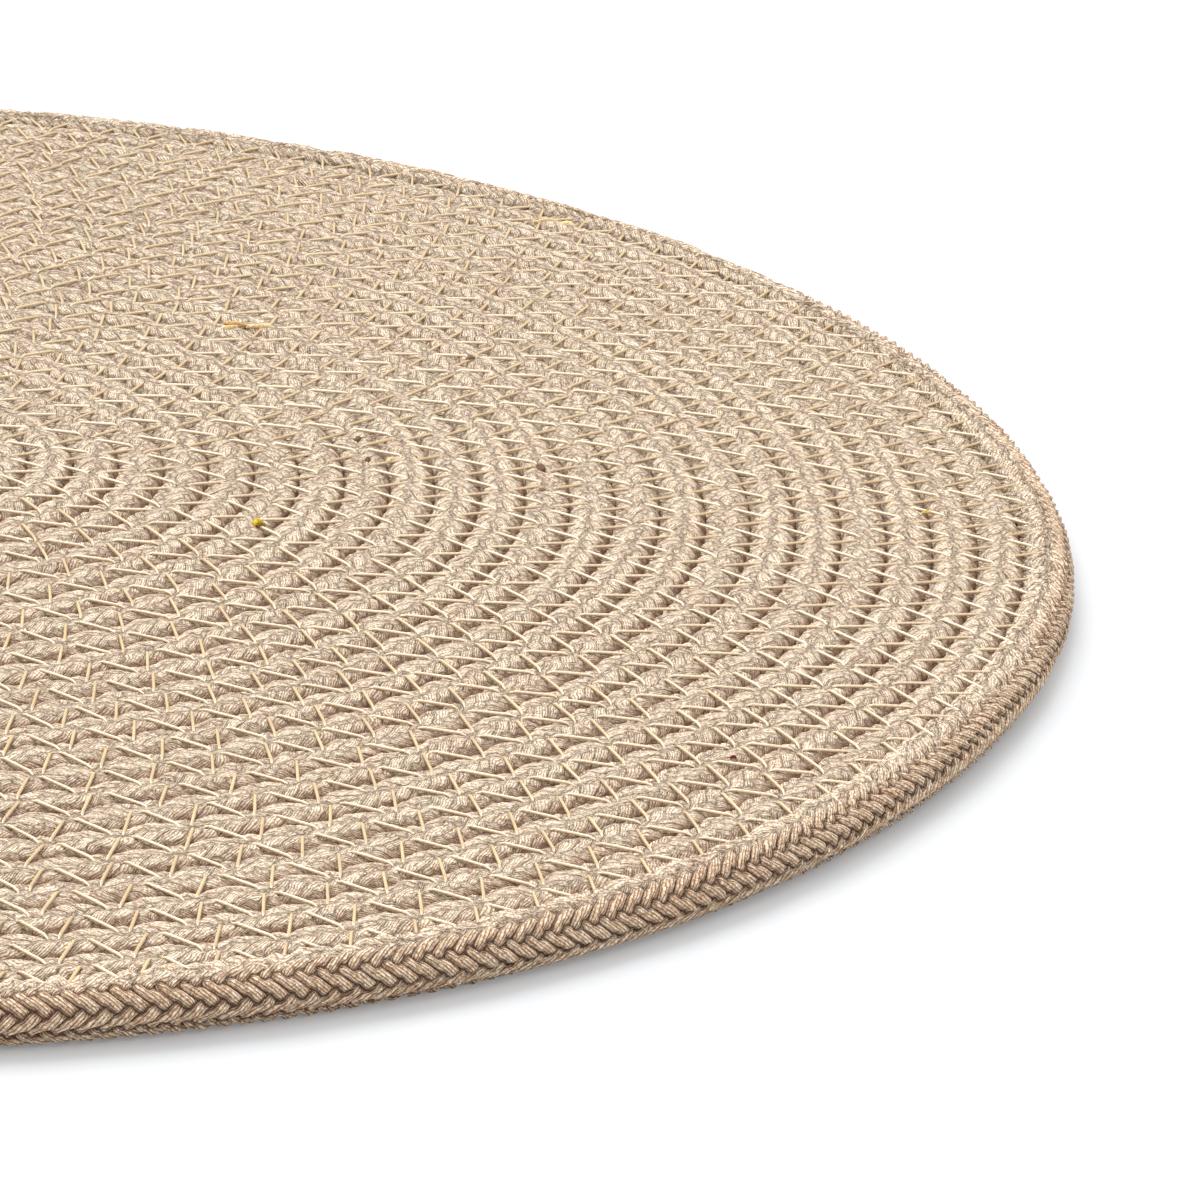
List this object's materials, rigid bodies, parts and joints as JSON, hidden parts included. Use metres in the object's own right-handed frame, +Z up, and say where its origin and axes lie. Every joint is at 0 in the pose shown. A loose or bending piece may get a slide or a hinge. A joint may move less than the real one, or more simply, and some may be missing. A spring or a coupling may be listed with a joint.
{
  "type": "fabric placemat",
  "caption": "Round placemat of one braided cotton rope, coiled flat and sewn turn to turn with a zigzag thread, with a round free edge and both faces ribbed.",
  "frame": {"origin": "middle of the mat's outline, on the surface it lies on", "axes": "+Z up through the mat, which winds clockwise outwards seen from above; the rope's outer end is at -X"},
  "size_m": [0.3766, 0.38, 0.0069],
  "materials": {
    "cotton_rope": "matt beige braided cotton with a faint grey and pink fleck"
  },
  "bodies": {
    "root": {"coiled_rope_mat": "cotton_rope"}
  },
  "joints": []
}
